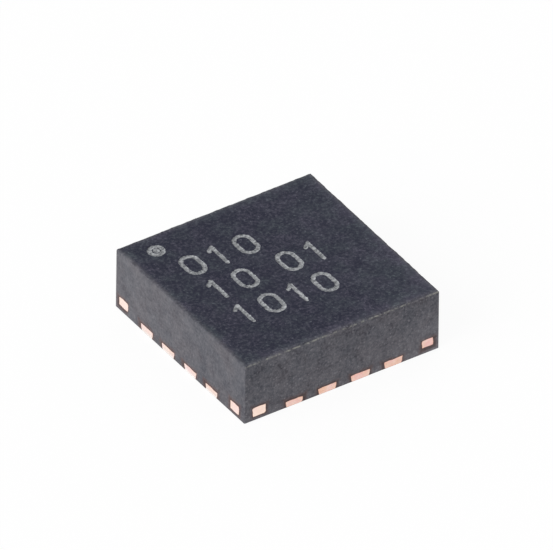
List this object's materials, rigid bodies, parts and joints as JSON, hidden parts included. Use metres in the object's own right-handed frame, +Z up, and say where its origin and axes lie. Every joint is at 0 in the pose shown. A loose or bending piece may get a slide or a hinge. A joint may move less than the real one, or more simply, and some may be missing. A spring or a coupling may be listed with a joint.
{
  "type": "qfn chip",
  "caption": "Flat square surface-mount chip: a sawn, dark moulded body over an etched copper lead frame, with solder lands along its edges and a thermal pad beneath.",
  "frame": {"origin": "centre of the thermal pad's soldering face, which is also the centre of the lead frame", "axes": "+Z up through the marked top; +X along the reading direction of the marking; pin 1 on the -X side at its +Y end"},
  "size_m": [0.003, 0.003, 0.0009],
  "materials": {
    "mould_compound": "charcoal epoxy moulding compound, smooth on top and saw-cut with pale filler grains on the sides",
    "lead_frame": "copper alloy, bare where it is sawn and plated bright on its soldering faces",
    "die_adhesive": "silver-filled adhesive",
    "silicon": "polished silicon",
    "bond_wire": "gold wire"
  },
  "bodies": {
    "root": {"mould_body": "mould_compound", "die_paddle": "lead_frame", "die_attach": "die_adhesive", "die": "silicon", "lead_1": "lead_frame", "lead_2": "lead_frame", "lead_3": "lead_frame", "lead_4": "lead_frame", "lead_5": "lead_frame", "lead_6": "lead_frame", "lead_7": "lead_frame", "lead_8": "lead_frame", "lead_9": "lead_frame", "lead_10": "lead_frame", "lead_11": "lead_frame", "lead_12": "lead_frame", "lead_13": "lead_frame", "lead_14": "lead_frame", "lead_15": "lead_frame", "lead_16": "lead_frame", "wire_1": "bond_wire", "wire_2": "bond_wire", "wire_3": "bond_wire", "wire_4": "bond_wire", "wire_5": "bond_wire", "wire_6": "bond_wire", "wire_7": "bond_wire", "wire_8": "bond_wire", "wire_9": "bond_wire", "wire_10": "bond_wire", "wire_11": "bond_wire", "wire_12": "bond_wire", "wire_13": "bond_wire", "wire_14": "bond_wire", "wire_15": "bond_wire", "wire_16": "bond_wire"}
  },
  "joints": []
}
